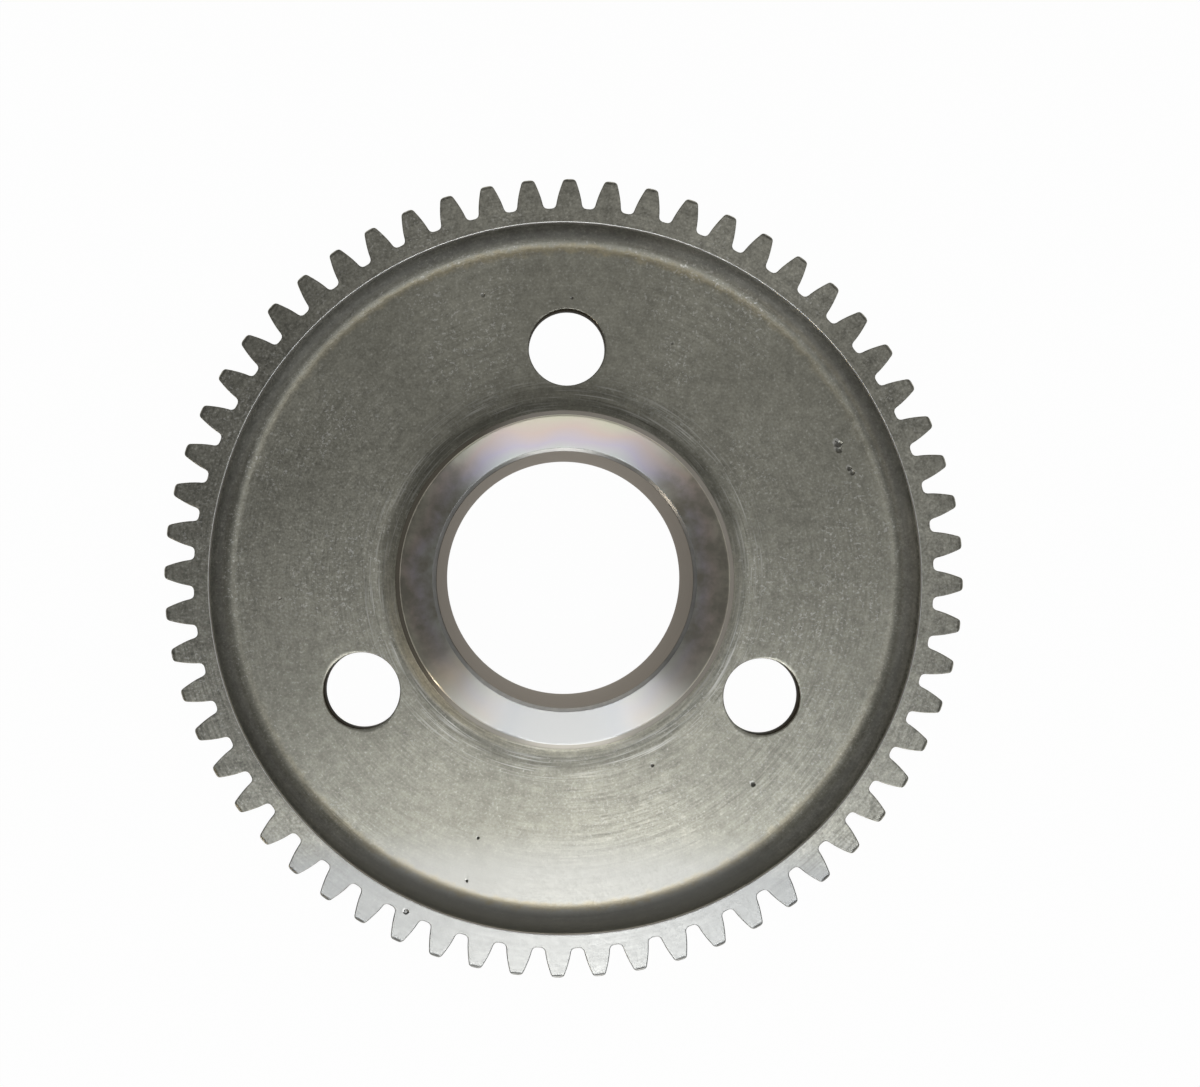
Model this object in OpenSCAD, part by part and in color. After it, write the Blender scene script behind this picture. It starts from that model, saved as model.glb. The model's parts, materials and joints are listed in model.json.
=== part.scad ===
// Starter driven gear: one forged and machined steel piece with a toothed rim, a dished web
// with three lightening holes, and a ground clutch boss on the front of the web.
// The gear axis is +Z. The back thrust face lies on z = 0, and the boss points up.

/* [Teeth] */
// Number of teeth
tooth_count = 60; // [54:1:80]
// Module: pitch diameter over the number of teeth
tooth_module = 2; // [1.75:0.05:2.5]
// Pressure angle of the involute flanks
pressure_angle = 17.5; // [17:0.5:22]
// Radius that rounds the two corners of each tooth tip
tip_round = 0.75; // [0.1:0.05:0.75]
// Radius of the fillet between each flank and the root circle
root_round = 0.75; // [0.4:0.05:0.75]
// Face width of the toothed rim
rim_w = 8; // [7:0.5:14]
// Bevel turned on the tip circle at both faces of the rim
tip_bevel = 0.25; // [0.1:0.05:0.8]

/* [Rim and web] */
// Depth of metal between the tooth roots and the edge of the front recess
rim_wall = 2.2; // [1.5:0.1:6]
// Depth of the front recess below the rim face
front_recess = 3; // [2:0.25:3.5]
// Radius of the hollow where the web rises into the rim
rim_fillet = 4; // [4:0.25:6]
// Depth of the shallow relief in the back of the web
back_relief = 0.5; // [0.3:0.1:1]
// Edge break along the front recess
recess_break = 0.25; // [0.1:0.05:0.4]

/* [Hub] */
// Diameter of the bore that runs on the shaft bearing
bore_d = 37; // [30:0.5:40]
// Wall of the boss between the bore and the clutch race
boss_wall = 6; // [4:0.25:9]
// Length of the hub from the back thrust face to the boss end
hub_length = 28.5; // [22:0.5:45]
// Height of the back thrust collar above the back of the rim
collar_proud = 0.5; // [0.2:0.1:2]
// Width of the flat thrust collar outside the bore
collar_wall = 8.5; // [5:0.25:12]
// Bevel that leads the clutch onto the boss
boss_bevel = 0.85; // [0.3:0.05:2]
// Edge break at both ends of the bore
bore_break = 0.5; // [0.2:0.05:1]
// Radius of the hollow at the foot of the boss
boss_fillet = 4.5; // [2:0.25:5]
// Width of the faced ring outside that hollow
faced_w = 0.8; // [0.4:0.1:1]
// Depth of the faced ring below the web
faced_depth = 0.12; // [0.05:0.01:0.3]

/* [Lightening holes] */
// Number of holes in the web
hole_count = 3; // [2:1:6]
// Diameter of each hole
hole_d = 12; // [6:0.5:13]
// Clear width of web between the boss hollow and each hole
hole_gap = 1.2; // [1.2:0.1:4]
// Edge break on both rims of each hole
hole_break = 0.15; // [0.05:0.05:0.3]

/* [Hidden] */
$fn = 128;

// Steps along the tip round, the flank and the root fillet of one tooth side
tip_steps = 3;
flank_steps = 5;
root_steps = 4;

// Overlap of a cut past the surface that it opens
over = 1;

// Gear circles: full-depth teeth, one module above the pitch circle and 1.3 below it
addendum_share = 1;
dedendum_share = 1.3;
pitch_r = tooth_module * tooth_count / 2;
base_r = pitch_r * cos(pressure_angle);
tip_r = pitch_r + addendum_share * tooth_module;
root_r = pitch_r - dedendum_share * tooth_module;
tooth_pitch = 360 / tooth_count;

// Levels along the axis
rim_back_z = collar_proud;
rim_front_z = rim_back_z + rim_w;
web_back_z = rim_back_z + back_relief;
web_front_z = rim_front_z - front_recess;
faced_z = web_front_z - faced_depth;

// Radii of the hub, from the bore outwards
bore_r = bore_d / 2;
boss_r = bore_r + boss_wall;
collar_r = bore_r + collar_wall;
hollow_r = boss_r + boss_fillet;
faced_r = hollow_r + faced_w;
hole_circle_r = hollow_r + hole_gap + hole_d / 2;

// Radii of the rim: the hollow is an arc that meets the rim face before it stands upright
recess_r = root_r - rim_wall;
rim_hollow_reach = sqrt(pow(rim_fillet, 2) - pow(rim_fillet - front_recess, 2));
web_flat_r = recess_r - rim_hollow_reach;
relief_r = recess_r - rim_wall / 2;

// Unit direction at an angle clockwise from +Y
function dir(angle) = [sin(angle), cos(angle)];

// A point turned clockwise about the axis
function turned(p, angle) = [
    p.x * cos(angle) + p.y * sin(angle),
    p.y * cos(angle) - p.x * sin(angle)
];

// Involute function, in degrees
function involute(angle) = tan(angle) * 180 / PI - angle;

// Pressure angle where an involute of the base circle reaches radius r
function flank_angle(r) = acos(base_r / r);

// Half of the tooth at radius r, as an angle at the gear axis
function half_tooth(r) =
    tooth_pitch / 4 + involute(pressure_angle) - involute(flank_angle(r));

// Length of the line from the base circle that generates the flank at radius r
function roll(r) = sqrt(r * r - base_r * base_r);

// A curve parallel to an involute is the same involute turned by the distance over base_r,
// so the centre of each round lies on a turned flank.
tip_centre_r = tip_r - tip_round;
tip_centre_a = half_tooth(tip_centre_r) - tip_round / base_r * 180 / PI;
tip_sweep = 90 - flank_angle(tip_centre_r);
tip_roll = roll(tip_centre_r) + tip_round;
root_centre_r = root_r + root_round;
root_centre_a = half_tooth(root_centre_r) + root_round / base_r * 180 / PI;
root_sweep = 90 - flank_angle(root_centre_r);
root_roll = roll(root_centre_r) - root_round;

// One side of the tooth that stands on +Y, from its tip to the root circle
tip_arc = [
    for (k = [0 : tip_steps])
        tip_centre_r * dir(tip_centre_a)
            + tip_round * dir(tip_centre_a + tip_sweep * k / tip_steps)
];
flank_curve = [
    for (k = [1 : flank_steps - 1])
        let (s = tip_roll + (root_roll - tip_roll) * k / flank_steps)
        let (r = sqrt(base_r * base_r + s * s))
        r * dir(half_tooth(r))
];
root_arc = [
    for (k = [0 : root_steps])
        root_centre_r * dir(root_centre_a)
            - root_round * dir(root_centre_a + root_sweep * (1 - k / root_steps))
];
tooth_side = concat(tip_arc, flank_curve, root_arc);
side_last = len(tooth_side) - 1;
tooth = concat(
    [for (k = [side_last : -1 : 0]) [-tooth_side[k].x, tooth_side[k].y]],
    tooth_side
);
gear_outline = [
    for (i = [0 : tooth_count - 1])
        for (p = tooth)
            turned(p, i * tooth_pitch)
];

// Cuts a 45 degree bevel off the corner of a section at (r, z), where the metal lies
// on the other side from the direction (out_r, out_z)
module bevel(r, z, leg, out_r, out_z) {
    polygon([
        [r + out_r * leg, z - out_z * 2 * leg],
        [r + out_r * leg, z + out_z * leg],
        [r - out_r * 2 * leg, z + out_z * leg]
    ]);
}

// Section of the dished front: a flat floor that curves up to the rim face
module front_recess_section() {
    translate([bore_r - over, web_front_z])
        square([web_flat_r - bore_r + over, front_recess + over]);
    translate([web_flat_r, web_front_z + rim_fillet])
        circle(r = rim_fillet);
}

// Section of the shallow relief in the back of the web
module back_relief_section() {
    translate([collar_r, rim_back_z - over])
        square([relief_r - collar_r, back_relief + over]);
}

// Section of the hollow at the foot of the boss, down to the faced ring
module boss_hollow_section() {
    difference() {
        translate([boss_r - over, faced_z])
            square([boss_fillet + over, boss_fillet]);
        translate([hollow_r, faced_z + boss_fillet])
            circle(r = boss_fillet);
    }
}

// Section of the whole gear blank to one side of the axis
module blank_section() {
    difference() {
        union() {
            difference() {
                translate([bore_r, rim_back_z])
                    square([tip_r - bore_r, rim_w]);
                front_recess_section();
                back_relief_section();
                translate([boss_r - over, faced_z])
                    square([faced_r - boss_r + over, front_recess]);
            }
            translate([bore_r, 0])
                square([boss_wall, hub_length]);
            translate([bore_r, 0])
                square([collar_wall, web_back_z + over]);
            boss_hollow_section();
        }
        bevel(bore_r, 0, bore_break, -1, -1);
        bevel(bore_r, hub_length, bore_break, -1, 1);
        bevel(boss_r, hub_length, boss_bevel, 1, 1);
        bevel(collar_r, 0, collar_proud / 2, 1, -1);
        bevel(recess_r, rim_front_z, recess_break, -1, 1);
        bevel(tip_r, rim_front_z, tip_bevel, 1, 1);
        bevel(tip_r, rim_back_z, tip_bevel, 1, -1);
    }
}

// One lightening hole through the web, with its rims broken
module web_hole() {
    rim_r = hole_d / 2 + hole_break + over;
    translate([0, 0, web_back_z - over])
        cylinder(d = hole_d, h = web_front_z - web_back_z + 2 * over);
    translate([0, 0, web_front_z - hole_break])
        cylinder(r1 = hole_d / 2, r2 = rim_r, h = hole_break + over);
    translate([0, 0, web_back_z - over])
        cylinder(r1 = rim_r, r2 = hole_d / 2, h = hole_break + over);
}

module driven_gear() {
    color("#74726b")
    intersection() {
        difference() {
            rotate_extrude()
                blank_section();
            for (i = [0 : hole_count - 1])
                rotate(90 + i * 360 / hole_count)
                    translate([hole_circle_r, 0, 0])
                        web_hole();
        }
        translate([0, 0, -over])
            linear_extrude(height = hub_length + 2 * over)
                polygon(gear_outline);
    }
}

driven_gear();
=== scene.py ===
import json
import math

import bmesh
import bpy
import numpy as np
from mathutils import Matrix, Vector


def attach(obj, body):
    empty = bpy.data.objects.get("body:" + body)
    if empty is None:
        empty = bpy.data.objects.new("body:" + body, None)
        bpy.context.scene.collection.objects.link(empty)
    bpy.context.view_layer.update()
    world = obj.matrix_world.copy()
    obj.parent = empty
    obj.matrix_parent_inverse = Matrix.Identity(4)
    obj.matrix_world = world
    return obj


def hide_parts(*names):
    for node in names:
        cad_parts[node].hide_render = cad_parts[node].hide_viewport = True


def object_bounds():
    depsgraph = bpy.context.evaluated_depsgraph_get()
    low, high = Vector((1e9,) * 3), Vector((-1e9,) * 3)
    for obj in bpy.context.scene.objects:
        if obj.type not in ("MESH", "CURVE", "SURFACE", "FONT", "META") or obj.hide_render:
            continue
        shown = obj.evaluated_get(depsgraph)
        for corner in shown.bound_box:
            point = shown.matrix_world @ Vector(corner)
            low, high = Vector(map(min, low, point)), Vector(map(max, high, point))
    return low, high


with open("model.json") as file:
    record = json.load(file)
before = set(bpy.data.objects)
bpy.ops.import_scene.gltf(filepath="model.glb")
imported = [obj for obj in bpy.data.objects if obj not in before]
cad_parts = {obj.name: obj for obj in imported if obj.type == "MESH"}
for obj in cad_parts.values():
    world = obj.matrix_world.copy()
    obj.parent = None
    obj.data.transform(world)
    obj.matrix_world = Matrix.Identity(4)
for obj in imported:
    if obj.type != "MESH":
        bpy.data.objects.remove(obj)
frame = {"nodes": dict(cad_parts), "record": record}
cadLow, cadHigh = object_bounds()
mounts = {m["name"]: m for m in frame["record"]["mounts"]}
mm = 0.001  # the frame is in metres, the sizes below are in millimetres
print("frame loaded, nodes:", sorted(frame["nodes"]))


# the camera stands over the gear, a little up and left of its axis

photoCamera = {
    "imageWidthPx": 1200,
    "sensorMm": 36.0,
    "focalPx": 1805.8,
    "footMm": (-2.4, 2.8),        # where the lens axis meets the gear, from its centre
    "heightMm": 288.5,            # above the back thrust face
    "rollDeg": 0.85,              # the gear lies turned clockwise by this much
    "shift": (0.043, 0.0138),     # the picture was cropped off centre
    "clipStartMm": 10.0,
}


def makeCamera(s):
    data = bpy.data.cameras.new("photo_camera")
    data.sensor_width = s["sensorMm"]
    data.lens = s["focalPx"] / s["imageWidthPx"] * s["sensorMm"]
    data.shift_x, data.shift_y = s["shift"]
    data.clip_start = s["clipStartMm"] * mm
    camera = bpy.data.objects.new("photo_camera", data)
    camera.location = (s["footMm"][0] * mm, s["footMm"][1] * mm, s["heightMm"] * mm)
    camera.rotation_euler = (0, 0, math.radians(s["rollDeg"]))
    bpy.context.scene.collection.objects.link(camera)
    bpy.context.scene.camera = camera
    print("camera placed, lens", round(data.lens, 2), "mm")


makeCamera(photoCamera)


# the gear as one closed skin: teeth, rim face, dished web with holes, boss and bore

gearSize = {
    "toothCount": 60,
    "module": 2.0,
    "addendum": 1.0,              # both in modules
    "dedendum": 1.3,
    "pressureDeg": 17.5,
    "tipRound": 0.75,
    "rootRound": 0.75,
    "tipBevel": 0.25,
    "toothEdge": 0.14,            # the tooth outline is worn round at both faces
    "rimBackZ": 0.5,              # the thrust collar stands proud of the rim by this much
    "rimW": 8.0,
    "rimWall": 2.2,
    "recessDepth": 3.0,
    "rimHollow": 4.0,
    "recessBreak": 0.16,
    "lipRound": 0.16,
    "backRelief": 0.5,
    "reliefLean": 0.1,            # the wall of the back relief leans out by this much
    "reliefRounds": (0.2, 0.1),   # at its foot and at the rim
    "collarWall": 8.5,
    "collarBevel": 0.25,
    "collarRounds": (0.1, 0.3),   # on its bevel and at its foot
    "bossHollow": 4.5,
    "bossBevel": 0.85,
    "bossRound": 0.25,
    "boreBreak": 0.5,
    "boreRounds": (0.15, 0.12),   # at the boss end and at the back
    "facedW": 0.8,
    "facedDepth": 0.02,
    "facedSlope": 0.6,            # width of the slope down to the faced ring
    "facedRound": 0.3,
    "holeR": 6.0,
    "holeBreak": 0.15,
    "holeGap": 1.2,
    "holeCount": 3,
    "boreR": mounts["bore"]["dims"]["r_mm"],
    "bossR": mounts["clutch_race"]["dims"]["r_mm"],
    "hubLength": cadHigh.z / mm,
}

gearGrid = {
    "tipSteps": 3,
    "flankSteps": 5,
    "rootSteps": 3,
    "edgeSteps": 3,
    "rimShares": (1, 0.45, 0.2, 0.09, 0.03),   # rows of the rim face, closer towards the teeth
    "flankHold": 0.2,             # a row this far below each face keeps the flanks straight
    "cornerSteps": 3,
    "cornerHold": 0.12,           # a point this far past each corner keeps the flats flat
    "largeRound": 1.0,            # rounds above this radius get a step for each arcStepDeg
    "arcStepDeg": 9.0,
    "hollowSteps": 12,
    "columns": 360,               # columns round the hub and the recess
    "sideCells": 34,              # cells along each radial side of a web sector
    "webCells": 15,               # cells from a hole out to the edge of its sector
    "backCells": 5,
    "holeShares": (0.015, 0.04),  # where the first two cells beside a hole end
    "webInset": (0.15, 0.3),      # the web's cells end this far from the faced ring and the hollow
    "zipInset": (0.9, 1.4),       # the teeth's columns meet the others between these, below the roots
    "weld": 0.002,
    "sliver": 0.0005,
}

# the recess was cut a touch off centre and its lip is not quite round
recessWander = {
    "closer": 0.05,
    "shift": 0.22,
    "towardsDeg": 115.0,
    "ripple": ((3, 0.05, 40.0), (7, 0.035, 15.0), (13, 0.02, 70.0)),   # waves, size, phase
    "fade": 0.5,                  # width on the rim face where it dies out
}


def direction(deg):
    # unit vector at an angle clockwise from +Y
    a = np.radians(deg)
    return np.stack([np.sin(a), np.cos(a)], -1)


def derivedSizes(s, g):
    # radii and levels that follow from the driving sizes; the hollow of the rim is an arc that
    # meets the rim face before it stands upright
    pitchR = s["module"] * s["toothCount"] / 2
    rootR = pitchR - s["dedendum"] * s["module"]
    recessR = rootR - s["rimWall"]
    reach = math.sqrt(s["rimHollow"] ** 2 - (s["rimHollow"] - s["recessDepth"]) ** 2)
    hollowR = s["bossR"] + s["bossHollow"]
    facedR = hollowR + s["facedW"]
    rimFrontZ = s["rimBackZ"] + s["rimW"]
    return {
        "base": pitchR * math.cos(math.radians(s["pressureDeg"])),
        "tip": pitchR + s["addendum"] * s["module"],
        "root": rootR,
        "fine": rootR - g["zipInset"][0],
        "coarse": rootR - g["zipInset"][1],
        "recess": recessR,
        "relief": recessR - s["rimWall"] / 2,
        "reach": reach,
        "flat": recessR - reach,
        "webOuter": recessR - reach - g["webInset"][1],
        "holeCircle": hollowR + s["holeGap"] + s["holeR"],
        "webInner": facedR + g["webInset"][0],
        "faced": facedR,
        "collar": s["boreR"] + s["collarWall"],
        "rimFrontZ": rimFrontZ,
        "webFrontZ": rimFrontZ - s["recessDepth"],
        "webBackZ": s["rimBackZ"] + s["backRelief"],
    }


def toothOutline(s, g, d):
    # one side of a tooth is a tip arc, an involute of the base circle and a root arc; the
    # parallel of an involute is the same involute turned, so both arcs have their centres on one
    baseR, tipRound, rootRound = d["base"], s["tipRound"], s["rootRound"]
    pitchDeg = 360 / s["toothCount"]

    def flankDeg(r):
        return np.degrees(np.arccos(baseR / r))

    def involuteDeg(deg):
        return np.degrees(np.tan(np.radians(deg))) - deg

    def halfTooth(r):
        return pitchDeg / 4 + involuteDeg(s["pressureDeg"]) - involuteDeg(flankDeg(r))

    tipC = d["tip"] - tipRound
    tipDeg = halfTooth(tipC) - math.degrees(tipRound / baseR)
    rootC = d["root"] + rootRound
    rootDeg = halfTooth(rootC) + math.degrees(rootRound / baseR)
    tipRoll = math.sqrt(tipC ** 2 - baseR ** 2) + tipRound
    rootRoll = math.sqrt(rootC ** 2 - baseR ** 2) - rootRound

    sweep = (90 - flankDeg(tipC)) * np.linspace(0, 1, g["tipSteps"] + 1)
    tipArc = tipC * direction(tipDeg) + tipRound * direction(tipDeg + sweep)
    roll = np.linspace(tipRoll, rootRoll, g["flankSteps"] + 1)[1:-1]
    flankR = np.hypot(baseR, roll)
    flank = flankR[:, None] * direction(halfTooth(flankR))
    sweep = (90 - flankDeg(rootC)) * np.linspace(1, 0, g["rootSteps"] + 1)
    rootArc = rootC * direction(rootDeg) - rootRound * direction(rootDeg + sweep)
    side = np.concatenate([tipArc, flank, rootArc])
    tooth = np.concatenate([side[::-1] * (-1, 1), side])

    turn = np.radians(np.arange(s["toothCount"]) * pitchDeg)[:, None]
    x = tooth[:, 0] * np.cos(turn) + tooth[:, 1] * np.sin(turn)
    y = tooth[:, 1] * np.cos(turn) - tooth[:, 0] * np.sin(turn)
    outline = np.stack([x.ravel(), y.ravel()], -1)
    along = np.roll(outline, -1, 0) - np.roll(outline, 1, 0)
    normal = np.stack([-along[:, 1], along[:, 0]], -1)
    normal /= np.linalg.norm(normal, axis=1, keepdims=True)
    return outline, normal


def toothRing(s, g, d, outline, normal):
    # rows carry the tooth outline from the front ring over the worn edge, down the flanks and back
    # in at the rear; near the tip circle both faces fall away in the turned bevel
    outward = outline / np.hypot(outline[:, 0], outline[:, 1])[:, None]
    e = s["toothEdge"]
    inset = outline - normal * e
    insetR = np.hypot(inset[:, 0], inset[:, 1])
    rows, levels = [], []
    for share in g["rimShares"]:
        r = insetR + (d["fine"] - insetR) * share
        rows.append(inset * (r / insetR)[:, None] if share < 1 else outward * d["fine"])
        levels.append(0.0)
    for t in np.radians(np.linspace(0, 90, g["edgeSteps"] + 1)):
        rows.append(outline - normal * e * (1 - math.sin(t)))
        levels.append(-e * (1 - math.cos(t)))
    front = np.array(rows)
    bevelled = np.hypot(front[..., 0], front[..., 1]) - (d["tip"] - s["tipBevel"])
    drop = np.array(levels)[:, None] - np.maximum(0, bevelled)
    z = np.concatenate([
        d["rimFrontZ"] + drop,
        d["rimFrontZ"] + drop[-1:] - g["flankHold"],
        s["rimBackZ"] - drop[-1:] + g["flankHold"],
        s["rimBackZ"] - drop[::-1],
    ])
    xy = np.concatenate([front, outline[None], outline[None], front[::-1]])
    return np.concatenate([xy, z[..., None]], -1)


def softSection(corners, g):
    # a section through given corners (r, z, radius): each corner with a radius is replaced by the
    # arc tangent to both legs, with a point held close to either end so that flats stay flat
    hold = g["cornerHold"]
    rows = []
    points = np.array([c[:2] for c in corners], float)
    for i, (point, (_, _, radius)) in enumerate(zip(points, corners)):
        if radius == 0:
            rows.append(point)
            continue
        a, b = points[i - 1] - point, points[i + 1] - point
        lengthA, lengthB = np.linalg.norm(a), np.linalg.norm(b)
        a, b = a / lengthA, b / lengthB
        half = math.acos(np.clip(a @ b, -1, 1)) / 2
        reach = radius / math.tan(half)
        centre = point + (a + b) / np.linalg.norm(a + b) * radius / math.sin(half)
        first, last = point + a * reach - centre, point + b * reach - centre
        sweep = math.pi - 2 * half
        steps = g["cornerSteps"]
        if radius > g["largeRound"]:
            steps = max(steps, math.ceil(math.degrees(sweep) / g["arcStepDeg"]))
        t = np.linspace(0, 1, steps + 1)[:, None]
        arc = (np.sin((1 - t) * sweep) * first + np.sin(t * sweep) * last) / math.sin(sweep)
        if lengthA > reach + 3 * hold:
            rows.append(point + a * (reach + hold))
        rows.extend(centre + arc)
        if lengthB > reach + 3 * hold:
            rows.append(point + b * (reach + hold))
    return np.array(rows)


def revolve(section, columns):
    # each point (r, z) of the section is carried round the gear axis
    ring = direction(np.arange(columns) * 360 / columns)
    grid = np.empty((len(section), columns, 3))
    grid[..., :2] = section[:, None, :1] * ring[None]
    grid[..., 2] = section[:, 1:]
    return grid


def recessGrid(s, g, d, w):
    # the lip, the arc of the hollow and the start of the flat web, carried round; the radius
    # wanders as a shift off centre and a few sine waves, and less towards the web and the rim
    arcZ = d["webFrontZ"] + s["rimHollow"]
    beta = math.acos((s["rimHollow"] - s["recessDepth"] + s["recessBreak"]) / s["rimHollow"])
    lip = softSection([
        (d["coarse"], d["rimFrontZ"], 0),
        (d["recess"] + s["recessBreak"], d["rimFrontZ"], s["lipRound"]),
        (d["flat"] + s["rimHollow"] * math.sin(beta), d["rimFrontZ"] - s["recessBreak"], 0),
    ], g)
    b = np.linspace(beta, 0, g["hollowSteps"] + 1)[1:]
    hollow = np.stack([d["flat"] + s["rimHollow"] * np.sin(b), arcZ - s["rimHollow"] * np.cos(b)], -1)
    section = np.concatenate([lip, hollow, [[d["webOuter"], d["webFrontZ"]]]])

    azimuth = np.arange(g["columns"]) * 360 / g["columns"]
    wander = w["shift"] * np.cos(np.radians(azimuth - w["towardsDeg"])) - w["closer"]
    for waves, size, phase in w["ripple"]:
        wander = wander + size * np.cos(np.radians(azimuth * waves + phase))
    r = section[:, :1]
    share = np.clip((r - d["flat"]) / d["reach"], 0, 1) * np.clip((d["coarse"] - r) / w["fade"], 0, 1)
    grid = revolve(section, g["columns"])
    grid[..., :2] += (wander * share)[..., None] * direction(azimuth)
    return grid


def hubGrid(s, g, d):
    # faced ring, boss hollow, boss, bore and thrust collar, from the front web to the back web
    boss, bore, top = s["bossR"], s["boreR"], s["hubLength"]
    facedZ = d["webFrontZ"] - s["facedDepth"]
    boreFront, boreBack = s["boreRounds"]
    collarRound, collarFoot = s["collarRounds"]
    section = softSection([
        (d["webInner"], d["webFrontZ"], 0),
        (d["faced"], d["webFrontZ"], s["facedRound"]),
        (d["faced"] - s["facedSlope"], facedZ, s["facedRound"]),
        (boss, facedZ, s["bossHollow"]),
        (boss, top - s["bossBevel"], s["bossRound"]),
        (boss - s["bossBevel"], top, s["bossRound"]),
        (bore + s["boreBreak"], top, boreFront),
        (bore, top - s["boreBreak"], boreFront),
        (bore, s["boreBreak"], boreBack),
        (bore + s["boreBreak"], 0, boreBack),
        (d["collar"] - s["collarBevel"], 0, collarRound),
        (d["collar"], s["collarBevel"], collarRound),
        (d["collar"], d["webBackZ"], collarFoot),
        (d["webInner"], d["webBackZ"], 0),
    ], g)
    return revolve(section, g["columns"])


def backGrid(s, g, d):
    # the back of the rim, from the back web out to the teeth
    foot, edge = s["reliefRounds"]
    lean = s["reliefLean"] / 2
    section = softSection([
        (d["webOuter"], d["webBackZ"], 0),
        (d["relief"] - lean, d["webBackZ"], foot),
        (d["relief"] + lean, s["rimBackZ"], edge),
        (d["coarse"], s["rimBackZ"], 0),
    ], g)
    return revolve(section, g["columns"])


def holedSector(s, g, d, middleDeg, z, cells):
    # a web sector with a hole: every point on the sector's outline is joined to the hole's rim by a
    # straight line in radius and azimuth, and the cells lie along those lines
    half = 180 / s["holeCount"]
    arcCells, sideCells = g["columns"] // s["holeCount"], g["sideCells"]
    innerR, outerR, circleR = d["webInner"], d["webOuter"], d["holeCircle"]
    arcDeg = np.linspace(-half, half, arcCells + 1)
    sideR = np.linspace(outerR, innerR, sideCells + 1)
    right, left = np.full(sideCells, half), np.full(sideCells, -half)
    outDeg = np.concatenate([arcDeg[:-1], right, arcDeg[:0:-1], left])
    outR = np.concatenate([np.full(arcCells, outerR), sideR[:-1], np.full(arcCells, innerR), sideR[:0:-1]])
    phi = np.arctan2(outR - circleR, np.radians(outDeg) * circleR)
    rimR = s["holeR"] + s["holeBreak"]
    holeX, holeY = rimR * np.cos(phi), circleR + rimR * np.sin(phi)
    holeR, holeDeg = np.hypot(holeX, holeY), np.degrees(np.arctan2(holeX, holeY))
    nearest, second = g["holeShares"]
    k = np.concatenate([[0, nearest], np.linspace(second, 1, cells - 1)])[:, None]
    r = holeR + (outR - holeR) * k
    flat = r[..., None] * direction(middleDeg + holeDeg + (outDeg - holeDeg) * k)
    return np.concatenate([flat, np.full(flat.shape[:2] + (1,), z)], -1), phi


def holeWall(s, g, d, middleDeg, phi):
    # the wall of a hole: its radius swells by a quarter arc at both rims
    e = s["holeBreak"]
    t = np.radians(np.linspace(0, 90, g["edgeSteps"] + 1))
    swell = np.concatenate([e * (1 - np.sin(t)), e * (1 - np.sin(t[::-1]))])
    z = np.concatenate([d["webFrontZ"] - e * (1 - np.cos(t)), d["webBackZ"] + e * (1 - np.cos(t[::-1]))])
    r = s["holeR"] + swell[:, None]
    x, y = r * np.cos(phi), d["holeCircle"] + r * np.sin(phi)
    flat = x[..., None] * direction(middleDeg + 90) + y[..., None] * direction(middleDeg)
    return np.concatenate([flat, np.broadcast_to(z[:, None, None], flat.shape[:2] + (1,))], -1)


def gridFaces(rows, columns, start):
    # quads between neighbouring rows, round to the first column again
    i = np.arange(rows - 1)[:, None] * columns
    j = np.arange(columns)[None]
    k = (j + 1) % columns
    return start + np.stack([i + j, i + k, i + columns + k, i + columns + j], -1).reshape(-1, 4)


def zipFaces(fineStart, coarseStart, coarse, ratio):
    # triangles between a ring and one with fewer columns: fine points fan to the nearer coarse one
    j = np.arange(coarse)
    c0, c1 = coarseStart + j, coarseStart + (j + 1) % coarse
    f = [fineStart + (j * ratio + n) % (coarse * ratio) for n in range(ratio + 1)]
    half = ratio // 2
    tris = [(f[n], f[n + 1], c0 if n < half else c1) for n in range(ratio)] + [(f[half], c1, c0)]
    return np.stack([np.stack(t, -1) for t in tris], 1).reshape(-1, 3)


def makeGear(s, g, d, w):
    # all the grids in one mesh: two rings of triangles tie in the teeth, and the rest is welded
    verts, faces = [], []

    def add(grid):
        start = sum(len(v) for v in verts)
        verts.append(grid.reshape(-1, 3))
        faces.append(gridFaces(grid.shape[0], grid.shape[1], start))
        lastRow = start + (grid.shape[0] - 1) * grid.shape[1]
        return start, lastRow

    outline, normal = toothOutline(s, g, d)
    teethFront, teethBack = add(toothRing(s, g, d, outline, normal))
    recessFront, _ = add(recessGrid(s, g, d, w))
    add(hubGrid(s, g, d))
    _, rimBack = add(backGrid(s, g, d))
    for i in range(s["holeCount"]):
        middle = i * 360 / s["holeCount"]
        front, phi = holedSector(s, g, d, middle, d["webFrontZ"], g["webCells"])
        back, _ = holedSector(s, g, d, middle, d["webBackZ"], g["backCells"])
        add(front)
        add(back)
        add(holeWall(s, g, d, middle, phi))
    ratio = len(outline) // g["columns"]
    faces.append(zipFaces(teethFront, recessFront, g["columns"], ratio))
    faces.append(zipFaces(teethBack, rimBack, g["columns"], ratio))

    mesh = bpy.data.meshes.new("gear_body")
    mesh.from_pydata(np.concatenate(verts) * mm, [], [f for block in faces for f in block.tolist()])
    shell = bmesh.new()
    shell.from_mesh(mesh)
    bmesh.ops.remove_doubles(shell, verts=shell.verts, dist=g["weld"] * mm)
    bmesh.ops.dissolve_degenerate(shell, edges=shell.edges, dist=g["sliver"] * mm)
    bmesh.ops.recalc_face_normals(shell, faces=shell.faces)
    openEdges = sum(1 for e in shell.edges if not e.is_manifold)
    triangles = sum(len(f.verts) - 2 for f in shell.faces)
    shell.to_mesh(mesh)
    shell.free()
    mesh.shade_smooth()
    gear = bpy.data.objects.new("gear_body", mesh)
    bpy.context.scene.collection.objects.link(gear)
    print("gear skin:", triangles, "triangles,", openEdges, "open edges")
    return gear


gearDerived = derivedSizes(gearSize, gearGrid)
gear = makeGear(gearSize, gearGrid, gearDerived, recessWander)


# finishes

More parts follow.
